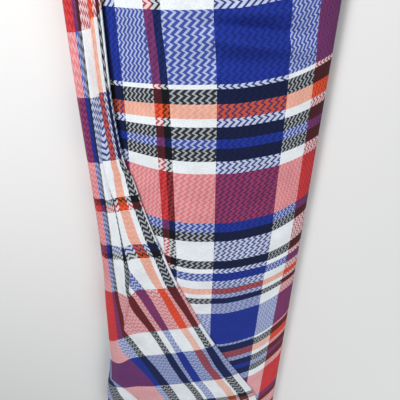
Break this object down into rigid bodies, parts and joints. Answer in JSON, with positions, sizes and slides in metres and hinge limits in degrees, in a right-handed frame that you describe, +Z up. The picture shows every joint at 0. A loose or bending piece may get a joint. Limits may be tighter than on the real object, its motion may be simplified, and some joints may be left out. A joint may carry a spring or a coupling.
{
  "type": "maasai shuka blanket",
  "caption": "Checked woven wrap blanket, wound loosely round itself and lying flat, with a hemmed diagonal flap over its top.",
  "frame": {"origin": "middle of the ground under the lying roll", "axes": "+X across the roll towards its smooth right side, +Y along the roll towards the narrow head end, +Z up"},
  "size_m": [0.524, 1.522, 0.0769],
  "materials": {
    "shuka_weave": "matt yarn-dyed twill with woven zigzags, in white, royal blue, black, red and orange"
  },
  "bodies": {
    "root": {"shuka_cloth": "shuka_weave"}
  },
  "joints": []
}
